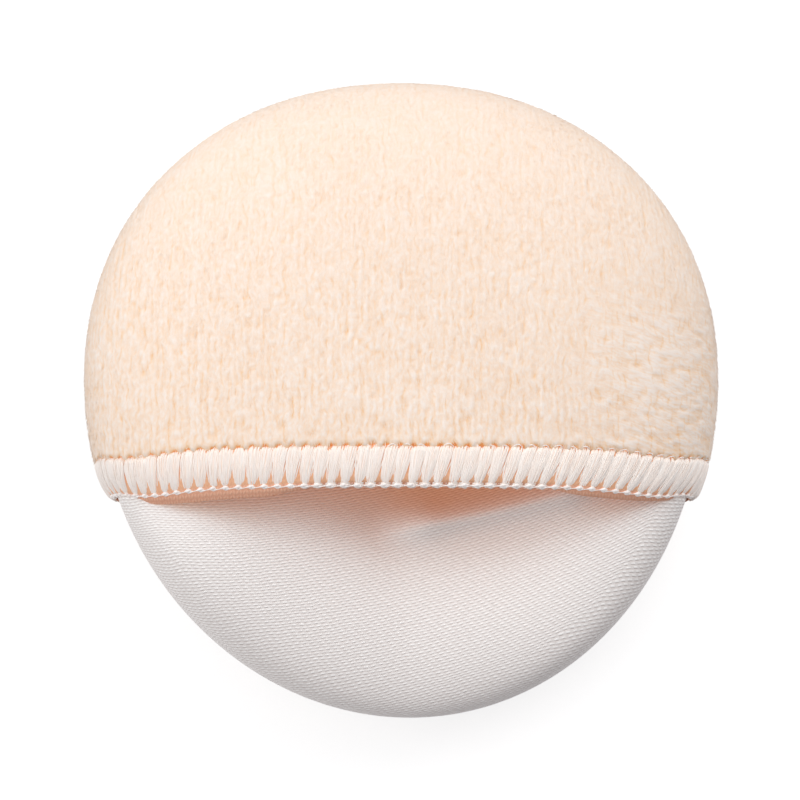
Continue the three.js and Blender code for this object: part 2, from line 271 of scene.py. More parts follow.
def on_square(skin, way_of, u, w, depth):
    """Skin at the points of a square that is laid over it.

    It is first drawn into a disc, x = u times the root of 1 - w^2/2 and y with u and w changed over; the disc's
    angle is the turn, and its radius the share of the way from the crown to the edge.
    """
    p = u * np.sqrt(1 - w * w / 2)
    q = w * np.sqrt(1 - u * u / 2)
    return skin(np.arctan2(q, p), way_of(np.minimum(1, np.hypot(p, q))), depth)


def laid_on(skin, last, size, depth, most=math.inf):
    """Grid of a whole square laid over a skin as far as its last way, or held at the most way."""
    line = np.linspace(-1, 1, size)
    u, w = np.meshgrid(line, line)
    way_of = evened(skin, last)
    return on_square(skin, lambda share: np.minimum(way_of(share), most), u, w, depth)


def lip_y(z, behind):
    """The y behind the lip, which leans forward and sags near its ends, at a level and a distance."""
    return MOUTH_Y + behind - MOUTH_LEAN * (z - WIDEST_Z) - LIP_SAG * hill((z - 23.5) / 3)


def pocket_square(behind, depth, rows, columns, last=3.0):
    """Grid over the pocket from a line behind its lip, which is found by halving, to its rear."""
    way_of = evened(pocket_skin, last)
    u = np.linspace(-1, 1, columns)
    low, high = np.full_like(u, -0.95), np.full_like(u, 0.9)
    for _ in range(40):
        middle = (low + high) / 2
        _, y, z = np.moveaxis(on_square(pocket_skin, way_of, u, middle, depth), -1, 0)
        past = y > lip_y(z, behind)
        high = np.where(past, middle, high)
        low = np.where(past, low, middle)
    w = mix((low + high) / 2, 1.0, np.linspace(0, 1, rows)[:, None])
    return on_square(pocket_skin, way_of, np.broadcast_to(u, w.shape), w, depth)


def faces_of(rows, columns, start=0):
    """Four-sided faces of a grid of points, whose rows run along its first axis."""
    at = start + np.arange(rows * columns).reshape(rows, columns)
    return np.stack([at[:-1, :-1], at[:-1, 1:], at[1:, 1:], at[1:, :-1]], -1).reshape(-1, 4)


def border_of(rows, columns):
    """Indices of a grid's border, once round it."""
    at = np.arange(rows * columns).reshape(rows, columns)
    return np.concatenate([at[0, :-1], at[:-1, -1], at[-1, :0:-1], at[:0:-1, 0]])


def sheet_of(outside, inside):
    """Points and faces of a closed sheet: two grids of one size, back to back, joined round their borders."""
    rows, columns = outside.shape[:2]
    count = rows * columns
    points = np.concatenate([outside.reshape(-1, 3), inside.reshape(-1, 3)])
    rim = border_of(rows, columns)
    after = np.roll(rim, -1)
    joint = np.stack([after, rim, rim + count, after + count], -1)
    return points, np.concatenate([faces_of(rows, columns), faces_of(rows, columns, count)[:, ::-1], joint])


def tube_of(path, radius, sides, normal=(0.0, 0.0, 1.0), wide=None):
    """Points, faces and lengthwise UV of tubes along paths, whose axes are tube, step and place.

    Each ring stands across its path, its first spoke as near the given normal as it can be. It is round, or an
    ellipse that is wide across that spoke.
    """
    many, steps = path.shape[:2]
    ahead = unit(np.gradient(path, axis=1))
    first = np.broadcast_to(normal, path.shape)
    first = unit(first - ahead * (first * ahead).sum(-1, keepdims=True))
    second = np.cross(ahead, first)
    turn = np.arange(sides) * TURN / sides
    thick = np.broadcast_to(radius, path.shape[:2])[..., None, None]
    broad = thick if wide is None else np.broadcast_to(wide, path.shape[:2])[..., None, None]
    points = path[..., None, :] + thick * first[..., None, :] * np.cos(turn)[:, None]
    points = points + broad * second[..., None, :] * np.sin(turn)[:, None]
    at = np.arange(many * steps * sides).reshape(many, steps, sides)
    on = np.roll(at, -1, axis=2)
    walls = np.stack([at[:, :-1], on[:, :-1], on[:, 1:], at[:, 1:]], -1).reshape(-1, 4)
    ends = np.concatenate([at[:, 0, ::-1], at[:, -1]])
    along = np.broadcast_to(lengths(path, 1)[..., None], at.shape)
    around = np.broadcast_to(np.arange(sides) / sides, at.shape) + np.arange(many)[:, None, None]
    return points.reshape(-1, 3), [walls, ends], uv_of(along, around)


def uv_of(across, along):
    """Places on a UV map, in a row."""
    return np.stack([across, along], -1).reshape(-1, 2)


def normals_of(grid):
    """Outward unit normals of a grid, across its rows and columns.

    A square's corners lie flat on the disc's edge and have no normal, so each takes one further in.
    """
    normal = np.cross(np.gradient(grid, axis=1), np.gradient(grid, axis=0))
    normal[np.ix_([0, -1], [0, -1])] = normal[np.ix_([2, -3], [2, -3])]
    return unit(normal)


def plant(name, points, faces, finish, uv=None, uv_name="cloth", normals=None, **values):
    """Smooth mesh object with its finish. Named values are kept as attributes of its points."""
    groups = faces if isinstance(faces, list) else [faces]
    corners = np.concatenate([g.ravel() for g in groups])
    sizes = np.concatenate([np.full(len(g), g.shape[1]) for g in groups])
    mesh = bpy.data.meshes.new(name)
    mesh.vertices.add(len(points))
    mesh.vertices.foreach_set("co", (points * MM).astype(np.float32).ravel())
    mesh.loops.add(len(corners))
    mesh.loops.foreach_set("vertex_index", corners.astype(np.int32))
    mesh.polygons.add(len(sizes))
    mesh.polygons.foreach_set("loop_start", (np.cumsum(sizes) - sizes).astype(np.int32))
    mesh.polygons.foreach_set("use_smooth", np.ones(len(sizes), bool))
    if uv is not None:
        layer = mesh.uv_layers.new(name=uv_name)
        layer.uv.foreach_set("vector", uv[corners].astype(np.float32).ravel())
    for label, value in values.items():
        mesh.attributes.new(label, "FLOAT", "POINT").data.foreach_set("value", value.astype(np.float32))
    mesh.update(calc_edges=True)
    mesh.validate()
    if normals is not None:
        mesh.normals_split_custom_set_from_vertices(normals.astype(np.float32))
    mesh.materials.append(finish)
    thing = bpy.data.objects.new(name, mesh)
    bpy.context.scene.collection.objects.link(thing)
    return thing


def put(tree, kind, settings=None, **values):
    """New shader node with its settings, and its inputs joined to sockets or set to values."""
    made = tree.nodes.new("ShaderNode" + kind)
    for key, value in (settings or {}).items():
        setattr(made, key, value)
    for key, value in values.items():
        socket = made.inputs[int(key[1:])] if key[1:].isdigit() else made.inputs[key.replace("_", " ")]
        if isinstance(value, bpy.types.NodeSocket):
            tree.links.new(value, socket)
        else:
            socket.default_value = value
    return made


def calc(tree, operation, *values):
    """Output of a Math node on values or sockets."""
    return put(tree, "Math", {"operation": operation}, **{f"i{k}": v for k, v in enumerate(values)}).outputs[0]


def ranged(tree, value, low=0.0, high=1.0, first=0.0, last=1.0, kind="LINEAR"):
    """A value brought from one range into another, and kept inside it."""
    settings = {"interpolation_type": kind}
    return put(tree, "MapRange", settings, Value=value, i1=low, i2=high, i3=first, i4=last).outputs[0]


def blend(tree, share, low, high):
    """Output of a colour mix, low where the share is 0 and high where it is 1."""
    return put(tree, "Mix", {"data_type": "RGBA"}, i0=share, i6=low, i7=high).outputs[2]


def xyz(tree, vector):
    """The three parts of a vector."""
    return put(tree, "SeparateXYZ", Vector=vector).outputs


def noise(tree, vector, scale, detail, out="Fac"):
    """Output of a noise at a place."""
    return put(tree, "TexNoise", Vector=vector, Scale=scale, Detail=detail).outputs[out]


def wandering(tree, vector, scale, detail, sway):
    """The parts of a map that wanders with a noise, by the sway."""
    shift = noise(tree, vector, scale, detail, "Color")
    moved = put(tree, "VectorMath", {"operation": "MULTIPLY_ADD"}, i0=shift, i1=sway, i2=vector)
    return xyz(tree, moved.outputs[0])


def drawn(tree, across, fine, along, dense, detail):
    """Noise with its own fineness across and along."""
    x, y = calc(tree, "MULTIPLY", across, fine), calc(tree, "MULTIPLY", along, dense)
    return noise(tree, put(tree, "CombineXYZ", X=x, Y=y).outputs[0], 1.0, detail)


def ridge_at(do, value, centre, width):
    """Bell of a value about a centre."""
    off = do("DIVIDE", do("SUBTRACT", value, centre), width)
    return do("EXPONENT", do("MULTIPLY", do("MULTIPLY", off, off), -1.0))


def group(name, **values):
    """New shader node group with a vector and named values, the maker of its Math nodes, and its inputs."""
    tree = bpy.data.node_groups.new(name, "ShaderNodeTree")
    tree.interface.new_socket("Vector", in_out="INPUT", socket_type="NodeSocketVector")
    for label, value in values.items():
        tree.interface.new_socket(label, in_out="INPUT", socket_type="NodeSocketFloat").default_value = value
    return tree, functools.partial(calc, tree), tree.nodes.new("NodeGroupInput").outputs


def ended(tree, **values):
    """A node group with its outputs joined to its end node."""
    ends = tree.nodes.new("NodeGroupOutput").inputs
    for label, value in values.items():
        tree.interface.new_socket(label, in_out="OUTPUT", socket_type="NodeSocketFloat")
        tree.links.new(value, ends[label])
    return tree


def finish_of(name, light=None, **constants):
    """New material with a Principled shader, whose constants are set on its sockets.

    Where light is given, that share and tint of the lamps' light goes through the cloth to what lies in its shade.
    """
    made = bpy.data.materials.new(name)
    made.use_nodes = True
    tree = made.node_tree
    tree.nodes.clear()
    shader = put(tree, "BsdfPrincipled", **constants)
    surface = shader.outputs[0]
    if light:
        film = put(tree, "BsdfTransparent", Color=(*(light[0] * part for part in light[1]), 1.0))
        lit = put(tree, "LightPath").outputs["Is Shadow Ray"]
        surface = put(tree, "MixShader", i0=lit, i1=surface, i2=film.outputs[0]).outputs[0]
    put(tree, "OutputMaterial", Surface=surface)
    return made, tree, shader


def dress(tree, shader, colour, height, strength, distance):
    """Joins a colour and a bump to a shader. The bump's distance is in millimetres."""
    tree.links.new(colour, shader.inputs["Base Color"])
    bump = put(tree, "Bump", Strength=strength, Distance=distance * MM, Height=height)
    tree.links.new(bump.outputs[0], shader.inputs["Normal"])


def linear(red, green, blue):
    """Colour socket value of a colour written as 0 to 255 per channel, as a screen shows it."""
    c = np.array([red, green, blue]) / 255
    c = np.where(c <= 0.04045, c / 12.92, ((c + 0.055) / 1.055) ** 2.4)
    return (*map(float, c), 1.0)


def weave_group():
    """Satin weave: rows of floats, each a light dash with a groove on its lower side; the light is a painted
    highlight and the groove's dark a painted shadow.

    Each row is moved on by two fifths of a float. Height is a bell across the row less a narrower bell in the
    groove, both times a wave along the row; chance makes some floats stronger than others.
    """
    tree, do, given = group("satin_weave", Row=0.385, Float=0.9)
    parts = wandering(tree, given["Vector"], 0.45, 3.0, (0.5, 0.4, 0.0))
    row = do("DIVIDE", parts["Y"], given["Row"])
    across = do("FRACT", row)
    start = do("MULTIPLY", do("FLOOR", row), 0.4)
    along = do("ADD", do("DIVIDE", parts["X"], given["Float"]), start)
    wave = do("COSINE", do("MULTIPLY", along, TURN))
    dash = ranged(tree, wave, -0.8, 0.5, 0.2, 1.0, "SMOOTHSTEP")
    slub = noise(tree, given["Vector"], 1.9, 1.0)
    strong = do("MULTIPLY", dash, do("MULTIPLY_ADD", slub, 1.2, 0.4))
    crest = do("MULTIPLY", ridge_at(do, across, 0.6, 0.22), 0.45)
    furrow_and_shadow = do("MULTIPLY", ridge_at(do, across, 0.2, 0.13), 0.5)
    height = do("MULTIPLY_ADD", do("SUBTRACT", crest, furrow_and_shadow), strong, 0.5)
    # Painted highlight and shadow: the shade follows the height, so the floats are painted light and the grooves
    # below them dark.
    shade = do("MULTIPLY_ADD", do("SUBTRACT", slub, 0.5), 0.3, height)
    return ended(tree, Height=height, Shade=shade)


def knit_group():
    """Back of a knitted velour: columns of leaning loops, two legs to a column, as slanted ridges."""
    tree, do, given = group("knit_back", Column=WALE, Course=0.6)
    parts = xyz(tree, given["Vector"])
    across = do("FRACT", do("DIVIDE", parts["X"], given["Column"]))
    side = do("ABSOLUTE", do("SUBTRACT", across, 0.5))
    along = do("ADD", do("DIVIDE", parts["Y"], given["Course"]), side)
    ridge = do("SINE", do("MULTIPLY", do("FRACT", along), math.pi))
    leg = do("SINE", do("MULTIPLY", side, TURN))
    return ended(tree, Height=do("MULTIPLY", ridge, leg))


def filament_group():
    """Fine filaments of an untwisted yarn: noise drawn out along the yarn."""
    tree, _, given = group("yarn_filaments", Fineness=6.0)
    parts = xyz(tree, given["Vector"])
    lines = drawn(tree, parts["X"], 0.35, parts["Y"], given["Fineness"], 2.0)
    return ended(tree, Height=lines, Shade=ranged(tree, lines, 0.3, 0.7))


def pile_group():
    """Fine look of a dense pile: short grains, and broken lines of painted shade in the grooves between its wales.

    The lines are bells at every wale of the wandering map, kept only where a slow noise is high. Where the pile is
    brushed over, the grains are drawn out along the brushed streaks and the lines are half as strong.
    """
    tree, do, given = group("pile_grain", Brushed=0.0)
    parts = wandering(tree, given["Vector"], 0.3, 2.0, (2.0, 0.0, 0.0))
    x, y = parts["X"], parts["Y"]
    aside = do("MULTIPLY_ADD", y, -LAY_SIN, do("MULTIPLY", x, LAY_COS))
    down = do("MULTIPLY_ADD", x, LAY_SIN, do("MULTIPLY", y, LAY_COS))
    upright, lying = drawn(tree, x, 2.6, y, 1.4, 2.0), drawn(tree, aside, 1.1, down, 3.4, 2.0)
    grain = put(tree, "Mix", i0=given["Brushed"], i2=upright, i3=lying).outputs[0]
    line = ridge_at(do, do("FRACT", do("DIVIDE", x, WALE)), 0.5, 0.16)
    kept = ranged(tree, drawn(tree, x, 1.1, y, 0.5, 1.0), 0.42, 0.68, kind="SMOOTHSTEP")
    half = do("MULTIPLY_ADD", given["Brushed"], -0.5, 1.0)
    return ended(tree, Grain=grain, Line=do("MULTIPLY", do("MULTIPLY", line, kept), half))


WEAVE, KNIT, FILAMENTS, GRAIN = weave_group(), knit_group(), filament_group(), pile_group()
PILE_SHEEN = {"Sheen_Roughness": 0.5, "Sheen_Tint": linear(255, 240, 226)}


def cloth_map(tree, name="cloth"):
    """The piece's own UV map, in millimetres of cloth."""
    return put(tree, "UVMap", {"uv_map": name}).outputs[0]


def kept_value(tree, name):
    """A value that is kept at the points of the piece."""
    return put(tree, "Attribute", {"attribute_name": name}).outputs["Fac"]


def satin_finish():
    """White satin: its weave paints a highlight on the floats and shadow in the grooves below them; the floats are
    also smoother.
    """
    made, tree, shader = finish_of("white_satin", Specular_IOR_Level=0.4, Sheen_Weight=0.15,
                                   Sheen_Tint=linear(240, 232, 236))
    weave = put(tree, "Group", {"node_tree": WEAVE}, Vector=cloth_map(tree)).outputs
    # Painted highlight and shadow: the weave's shade runs from greyish brown in the grooves to white on the floats.
    colour = blend(tree, weave["Shade"], linear(202, 191, 185), linear(255, 253, 250))
    dress(tree, shader, colour, weave["Height"], strength=0.5, distance=0.12)
    tree.links.new(ranged(tree, weave["Shade"], first=0.62, last=0.42), shader.inputs["Roughness"])
    return made


def ground_finish(name, low, high, pressed):
    """Knitted ground: two colours on its back, and the pressed pile's outside, where shade is 1."""
    made, tree, shader = finish_of(name, VELOUR_LIGHT, Roughness=0.9)
    knit = put(tree, "Group", {"node_tree": KNIT}, Vector=cloth_map(tree)).outputs
    back = blend(tree, knit["Height"], low, high)
    colour = blend(tree, kept_value(tree, "shade"), back, pressed)
    dress(tree, shader, colour, knit["Height"], strength=0.3, distance=0.2)
    return made


def pile_finish(name, root, tip):
    """Pile fibres: the map's second axis runs from root to tip, and its first is the fibre's own shade."""
    made, tree, shader = finish_of(name, VELOUR_LIGHT, Roughness=0.85, Specular_IOR_Level=0.2,
                                   Sheen_Weight=0.3, **PILE_SHEEN)
    parts = xyz(tree, cloth_map(tree, "OFBake"))
    colour = blend(tree, ranged(tree, parts["Y"], 0.0, 0.6, kind="SMOOTHSTEP"), root, tip)
    shade = ranged(tree, parts["X"], first=0.93)
    toned = put(tree, "VectorMath", {"operation": "SCALE"}, i0=colour, Scale=shade).outputs[0]
    tree.links.new(toned, shader.inputs["Base Color"])
    return made


def velour_finish(name, root, gap, tip):
    """Dense pile: a darker, more orange gap colour between tufts, which is painted shade, and the tip colour on
    them, with the pile's own fine grain.

    The deep orange root colour is painted shade in the needle's dimples and at the pile's rolled edge, where shade
    is below 0. The grain is weaker to the rear and stronger where the pile is brushed.
    """
    made, tree, shader = finish_of(name, VELOUR_LIGHT, Roughness=0.9, Specular_IOR_Level=0.15,
                                   Sheen_Weight=0.4, **PILE_SHEEN)
    do = functools.partial(calc, tree)
    brushed = kept_value(tree, "brushed")
    look = put(tree, "Group", {"node_tree": GRAIN}, Vector=cloth_map(tree), Brushed=brushed).outputs
    place = xyz(tree, put(tree, "TexCoord").outputs["Object"])
    front, rear = -0.013, 0.034
    depth = ranged(tree, place["Y"], front, rear, 1.1, 0.45)
    depth = do("MULTIPLY", depth, do("MULTIPLY_ADD", brushed, 0.9, 1.0))
    grain = do("ADD", do("SUBTRACT", look["Grain"], 0.5), do("MULTIPLY", look["Line"], -0.4))
    toned = do("MULTIPLY_ADD", grain, depth, kept_value(tree, "shade"))
    # Painted shade: the kept shade darkens the colour to the gap colour where the pile is low, and to the root
    # colour in the dimples and at the rolled edge.
    upper = blend(tree, ranged(tree, toned, 0.1, 1.0), gap, tip)
    colour = blend(tree, ranged(tree, toned, -0.6, 0.1), root, upper)
    dress(tree, shader, colour, grain, strength=0.3, distance=0.12)
    return made


def yarn_finish(name, low, high, fineness):
    """Yarn of two near whites in fine filaments."""
    made, tree, shader = finish_of(name, YARN_LIGHT, Roughness=0.5, Sheen_Weight=0.2)
    lines = put(tree, "Group", {"node_tree": FILAMENTS}, Vector=cloth_map(tree), Fineness=fineness).outputs
    colour = blend(tree, lines["Shade"], low, high)
    dress(tree, shader, colour, lines["Height"], strength=0.5, distance=0.05)
    return made


def wadding_finish():
    """Matt white fibre, curled."""
    made, tree, shader = finish_of("fibre_filling", Roughness=1.0)
    place = put(tree, "TexCoord").outputs["Object"]
    curls = put(tree, "TexNoise", Vector=place, Scale=900.0, Detail=3.0, Distortion=1.5).outputs["Fac"]
    colour = blend(tree, curls, linear(225, 222, 216), linear(250, 249, 246))
    dress(tree, shader, colour, curls, strength=0.8, distance=0.6)
    return made


def cloth_lengths(grid):
    """Lengths on a grid: across from its middle column and along from its first row."""
    across = lengths(grid, 1)
    return across - across[:, [across.shape[1] // 2]], lengths(grid)


def cut_of(grid):
    """Cut of a panel in metres: its widest row by its middle column, and the area of the whole grid."""
    across, along = cloth_lengths(grid)
    width, length = np.ptp(across, axis=1).max() * MM, np.ptp(along[:, along.shape[1] // 2]) * MM
    cells = np.cross(np.diff(grid, axis=0)[:, :-1], np.diff(grid, axis=1)[:-1])
    return {"flat": (width, length), "area": float(np.linalg.norm(cells, axis=-1).sum()) * MM**2}


def satin_back():
    """Satin cover: a closed sheet over the pad. Its weave runs level on the left and climbs to the right.

    Rows of the weave lie at equal values of y plus the lean times z, less the climb, stretched as the cloth's middle
    is. On the rim that value is held, and falls by a part of the distance from there times the share of the way to
    the front, so that the rows go down the wall with the cloth.
    """
    rim, lean, fall, most, climb, bend = 0.72, 0.21, 0.9, 1.7, 0.22, 0.0085
    outside, inside = (laid_on(satin_skin, 3.0, 221, depth) for depth in (0.0, SATIN))
    across, along = cloth_lengths(outside)
    held = laid_on(satin_skin, 3.0, 221, 0.0, rim)
    wall = np.linalg.norm(outside - held, axis=-1)
    x, y, z = np.moveaxis(held, -1, 0)
    level = y + lean * z - fall * wall * np.clip((WIDEST_Y - y) / PAD[2], -1, 1)
    middle = level.shape[1] // 2
    step, length = np.diff(level[:, middle]), np.diff(along[:, middle])
    dome = step > 0.02
    span = np.linspace(-70, 70, 500)
    stretch = np.interp(span, level[1:, middle][dome], np.clip(length[dome] / step[dome], 1, most))
    rows = np.interp(level - climb * x - bend / 2 * x**2, span, np.cumsum(stretch) * (span[1] - span[0]))
    uv = uv_of(across, rows)
    points, faces = sheet_of(outside, inside)
    return plant("satin_cover", points, faces, satin_finish(), np.tile(uv, (2, 1))), cut_of(outside)


def face_panel(finish):
    """Ground cloth of the powdering face: a closed shallow bowl, its knitted back inside."""
    outside, inside = (laid_on(face_skin, 4.0, 121, depth) for depth in (PILE, VELOUR))
    uv = uv_of(*cloth_lengths(outside))
    points, faces = sheet_of(outside, inside)
    return plant("face_ground", points, faces[:, ::-1], finish, np.tile(uv, (2, 1))), cut_of(outside)


def pocket_panel(finish):
    """Ground cloth of the pocket: a closed sheet from the lip to the rim seam, its knitted back inside.

    Beside the lip its outside lies higher, because the stitches press the pile flat there, and rolls over. On the
    left and the right its raw edge curls out below the stitches and shows its back.
    """
    rows, columns = 121, 181
    skin = pocket_square(0.0, 0.0, rows, columns)
    across, along = cloth_lengths(skin)
    ends = mix(END_ROLL, 1.0, ease((1 - np.abs(np.linspace(-1, 1, columns))) / 0.2))
    deep = mix(0.46 + 0.6 * ends * roll(along), PILE, ease(along - HEM))
    outside = skin - normals_of(skin) * deep[..., None]
    x = skin[0, :, 0]
    curl = LEFT_CURL * ease((x + 38) / 7) * ease((-8 - x) / 9)
    curl = curl + RIGHT_CURL * ease((x - 15) / 8) * ease((38.5 - x) / 5)
    inside = pocket_square(-curl, VELOUR, rows + 2, columns)
    edge = pocket_square(-curl, VELOUR - 0.08, 2, columns)[:1]
    outside = np.concatenate([edge, mix(outside[:1], edge, 0.2), outside])
    reach = curl[None] + 0.4
    across = across[np.r_[0, 0, :rows]]
    front = np.concatenate([-reach, -0.2 * reach, along])
    back = np.concatenate([-reach, 0.6 - reach, along])
    points, faces = sheet_of(outside, inside)
    uv = np.concatenate([uv_of(across, front), uv_of(across, back)])
    shade = np.zeros((2,) + across.shape)
    shade[0, 2:] = 1.0
    return plant("pocket_ground", points, faces, finish, uv, shade=shade.ravel()), cut_of(skin)


def filling():
    """Filling: the pad's own closed form, its upper dome over the face's inside, 0.3 clear of the cloth."""
    upper = laid_on(satin_skin, 1.0, 81, SATIN + 0.3)
    lower = laid_on(face_skin, 2.0, 81, VELOUR + 0.3)
    return plant("pad_filling", *sheet_of(upper, lower), wadding_finish())


def scattered(grid, count, rng):
    """Places on a grid, one in each equal share of its area, at random within its cell.

    Gives the place, the unit vectors across, along and out, and the lengths across and along.
    """
    one, two = np.gradient(grid, axis=1), np.gradient(grid, axis=0)
    total = np.cumsum(np.linalg.norm(np.cross(one, two), axis=-1)[:-1, :-1])
    pick = np.searchsorted(total, (np.arange(count) + rng.random(count)) / count * total[-1])
    row, column = np.divmod(np.minimum(pick, len(total) - 1), grid.shape[1] - 1)
    down, over = rng.random((2, count))
    found = [between(v, row, column, down, over) for v in (grid, one, two, *cloth_lengths(grid))]
    ta, tb = unit(found[1]), unit(found[2])
    return found[0], ta, tb, unit(np.cross(ta, tb)), *found[3:]


def combed(a, b):
    """Share of the brushed patch on the right of the mouth, where the pile lies aslant, with a ragged edge."""
    ragged = a + 3.0 * mottle(a / 3, b / 3, 9)
    return 0.9 * ease((ragged - 15) / 17) * ease((27 - b) / 14)


def tufts(a, b):
    """Height of the pile from 0 in a gap to 1 on a tuft, at lengths across and along the cloth.

    Tufts stand in wandering wales: a cosine across each wale, stronger in some patches, with streaks along it,
    steps of chance and a deep gap here and there. In the brushed patch they are streaks down to the right. The
    contrast falls to the rear.
    """
    wide = a + 0.4 * mottle(a / 5, b / 6, 11) + 0.13 * mottle(a / 1.2, b / 1.6, 12)
    i = np.round(wide / WALE).astype(int)
    course = b / 1.05 + np.random.default_rng(13).random(512)[i % 512] + 0.6 * mottle(a / 1.1, b / 1.8, 14)
    j = np.round(course).astype(int)
    chance = np.random.default_rng(10).random((256, 256))[i % 256, j % 256] - 0.5
    wale = np.cos(TURN * wide / WALE) * np.clip(0.6 + 0.5 * mottle(a / 2.2, b / 2.4, 15), 0.2, 1)
    cross = (2 * np.abs(course - j)) ** 3
    pit = np.maximum(0, mottle(wide / 0.4, b / 0.9, 16) - 0.45)
    streaks = mottle(wide / 0.4, b / 0.9, 17) + 0.6 * mottle(wide / 0.42, b / 2.6, 22)
    upright = 0.12 * wale + 0.13 * streaks + 0.08 * chance - 0.12 * cross - 0.7 * pit
    aside, down = LAY_COS * a - LAY_SIN * b, LAY_SIN * a + LAY_COS * b
    lying = 0.3 * mottle(down / 0.4, aside / 1.3, 18) + 0.14 * mottle(down / 0.8, aside / 2, 19)
    lying = lying - 0.8 * np.maximum(0, mottle(down / 0.4, aside / 1.2, 23) - 0.45)
    contrast = np.clip(1 - 0.0135 * b, 0.4, 1)
    return np.clip(0.8 + contrast * mix(upright, lying, combed(a, b)), 0, 1)


def pile_bed(name, grid, finish, ending):
    """Dense pile as one closed body: a fine grid with its tufts over a coarse grid inside it.

    A gap lies below a tuft, and the whole swells and sinks in patches. Where ending is 1, the tufts roll down at
    the first row, with dimples between each two stitches. The kept shade is painted shade: it falls with the pile's
    height, and further at the rolled edge and in the dimples, down to the root's deep orange.
    """
    every = 4
    rows, columns = grid.shape[:2]
    away = normals_of(grid)
    a, b = cloth_lengths(grid)
    high = tufts(a, b)
    scallop = np.cos(TURN * (a * ending + HEM_LENGTH / 2 - FIRST_HEAD) / STITCH)
    ragged = b + 0.18 * mottle(a / 0.5, b / 3, 21) + 0.25 * mottle(a / 0.23, b / 3, 24) + 0.12 * scallop
    rolled = ending * 0.45 * (1 - ease(ragged / 0.65)) ** 1.5
    dimple_and_shade = ending * (0.5 - 0.5 * scallop) ** 2 * hill((b - 0.1) / 0.42)
    drop = 0.08 + 0.35 * (1 - high) + 0.03 * mottle(a / 2.9, b / 2.9, 20) + rolled + 0.2 * dimple_and_shade
    top = grid - away * drop[..., None]
    under = (grid - away * (PILE + 0.1))[::every, ::every]
    count = rows * columns
    shared = np.arange(count).reshape(rows, columns)[::every, ::every]
    near = np.zeros(count, int)
    near[shared] = count + np.arange(shared.size).reshape(shared.shape)
    rim = border_of(rows, columns)
    loop = np.concatenate([rim, rim[:1]])
    corner = np.arange(0, len(rim), every)
    spans = [loop[corner + k] for k in range(every, -1, -1)]
    spans += [near[loop[corner]], near[loop[corner + every]]]
    points = np.concatenate([top.reshape(-1, 3), under.reshape(-1, 3)])
    faces = [faces_of(rows, columns), faces_of(*shared.shape, count)[:, ::-1], np.stack(spans, -1)]
    uv = np.concatenate([uv_of(a, b), uv_of(a[::every, ::every], b[::every, ::every])])
    hidden = np.zeros(shared.size)
    # Painted shade: the colour's shade is the tufts' height, less the rolled edge and the dimples.
    shade = np.concatenate([(high - 0.5 * rolled - 2.6 * dimple_and_shade).ravel(), hidden])
    brushed = np.concatenate([ending * combed(a, b).ravel(), hidden])
    return plant(name, points, faces, finish, uv, shade=shade, brushed=brushed)


def pile_of(name, grid, lean, finish, rng, lowest=0.0):
    """Loose fibres over the pile: closed and three-sided, from just below the tufts to a little over them.

    A fibre's tip lies out from its root by its height and aside by the lean of its place and by chance. It takes
    the cloth's own normal, so that it is lit like the pile around it.
    """
    root, ta, tb, out, a, b = scattered(grid, FIBRES, rng)
    lean_a, lean_b = lean(a, b)
    shake = rng.normal(0, 0.16, (2, FIBRES))
    tall = rng.uniform(0.2, 0.5, FIBRES)
    tip = root + out * tall[:, None] + ta * (lean_a + shake[0])[:, None] + tb * (lean_b + shake[1])[:, None]
    tip[:, 2] = np.maximum(tip[:, 2], lowest)
    way = unit(tip - root)
    side = unit(np.cross(way, out + 0.01 * ta))
    up = np.cross(way, side)
    wide = rng.uniform(0.035, 0.075, FIBRES)[:, None]
    turn = math.pi / 2 + np.arange(3) * TURN / 3
    foot = [root + wide * (side * math.cos(t) + up * math.sin(t)) for t in turn]
    points = np.stack([*foot, tip], 1)
    at = 4 * np.arange(FIBRES)[:, None]
    faces = np.concatenate([at + [0, 1, 3], at + [1, 2, 3], at + [2, 0, 3], at + [2, 1, 0]])
    uv = np.zeros((FIBRES, 4, 2))
    uv[:, :, 0] = rng.uniform(0.02, 0.98, (FIBRES, 1)) + np.array([-0.012, 0.0, 0.012, 0.0])
    uv[:, :, 1] = np.array([0.01, 0.03, 0.01, 0.99])
    normals = unit(np.repeat(out, 4, axis=0) + [0, 0, 0.35])
    return plant(name, points.reshape(-1, 3), faces, finish, uv.reshape(-1, 2), "OFBake", normals)


def pocket_lean(a, b):
    """Lay of the pocket's pile: brushed to the lip, wandering aside, and to the right at the right."""
    wander = 0.25 * np.sin(a / 7.0 + 1.3 * np.sin(b / 9.0)) + 0.15 * np.sin(b / 4.1 + a / 11.0)
    aside = ease((a - 22) / 14) * ease((26 - b) / 16)
    return wander + 0.9 * aside, -0.85 + 0.2 * np.sin(a / 5.0 + b / 6.0) + 0.6 * aside


def face_lean(a, b):
    """Lay of the face's pile: brushed one way, wandering a little."""
    return 0.3 * np.sin(a / 9.0 + b / 13.0), -0.7 + 0.2 * np.sin(a / 6.0 - b / 8.0)


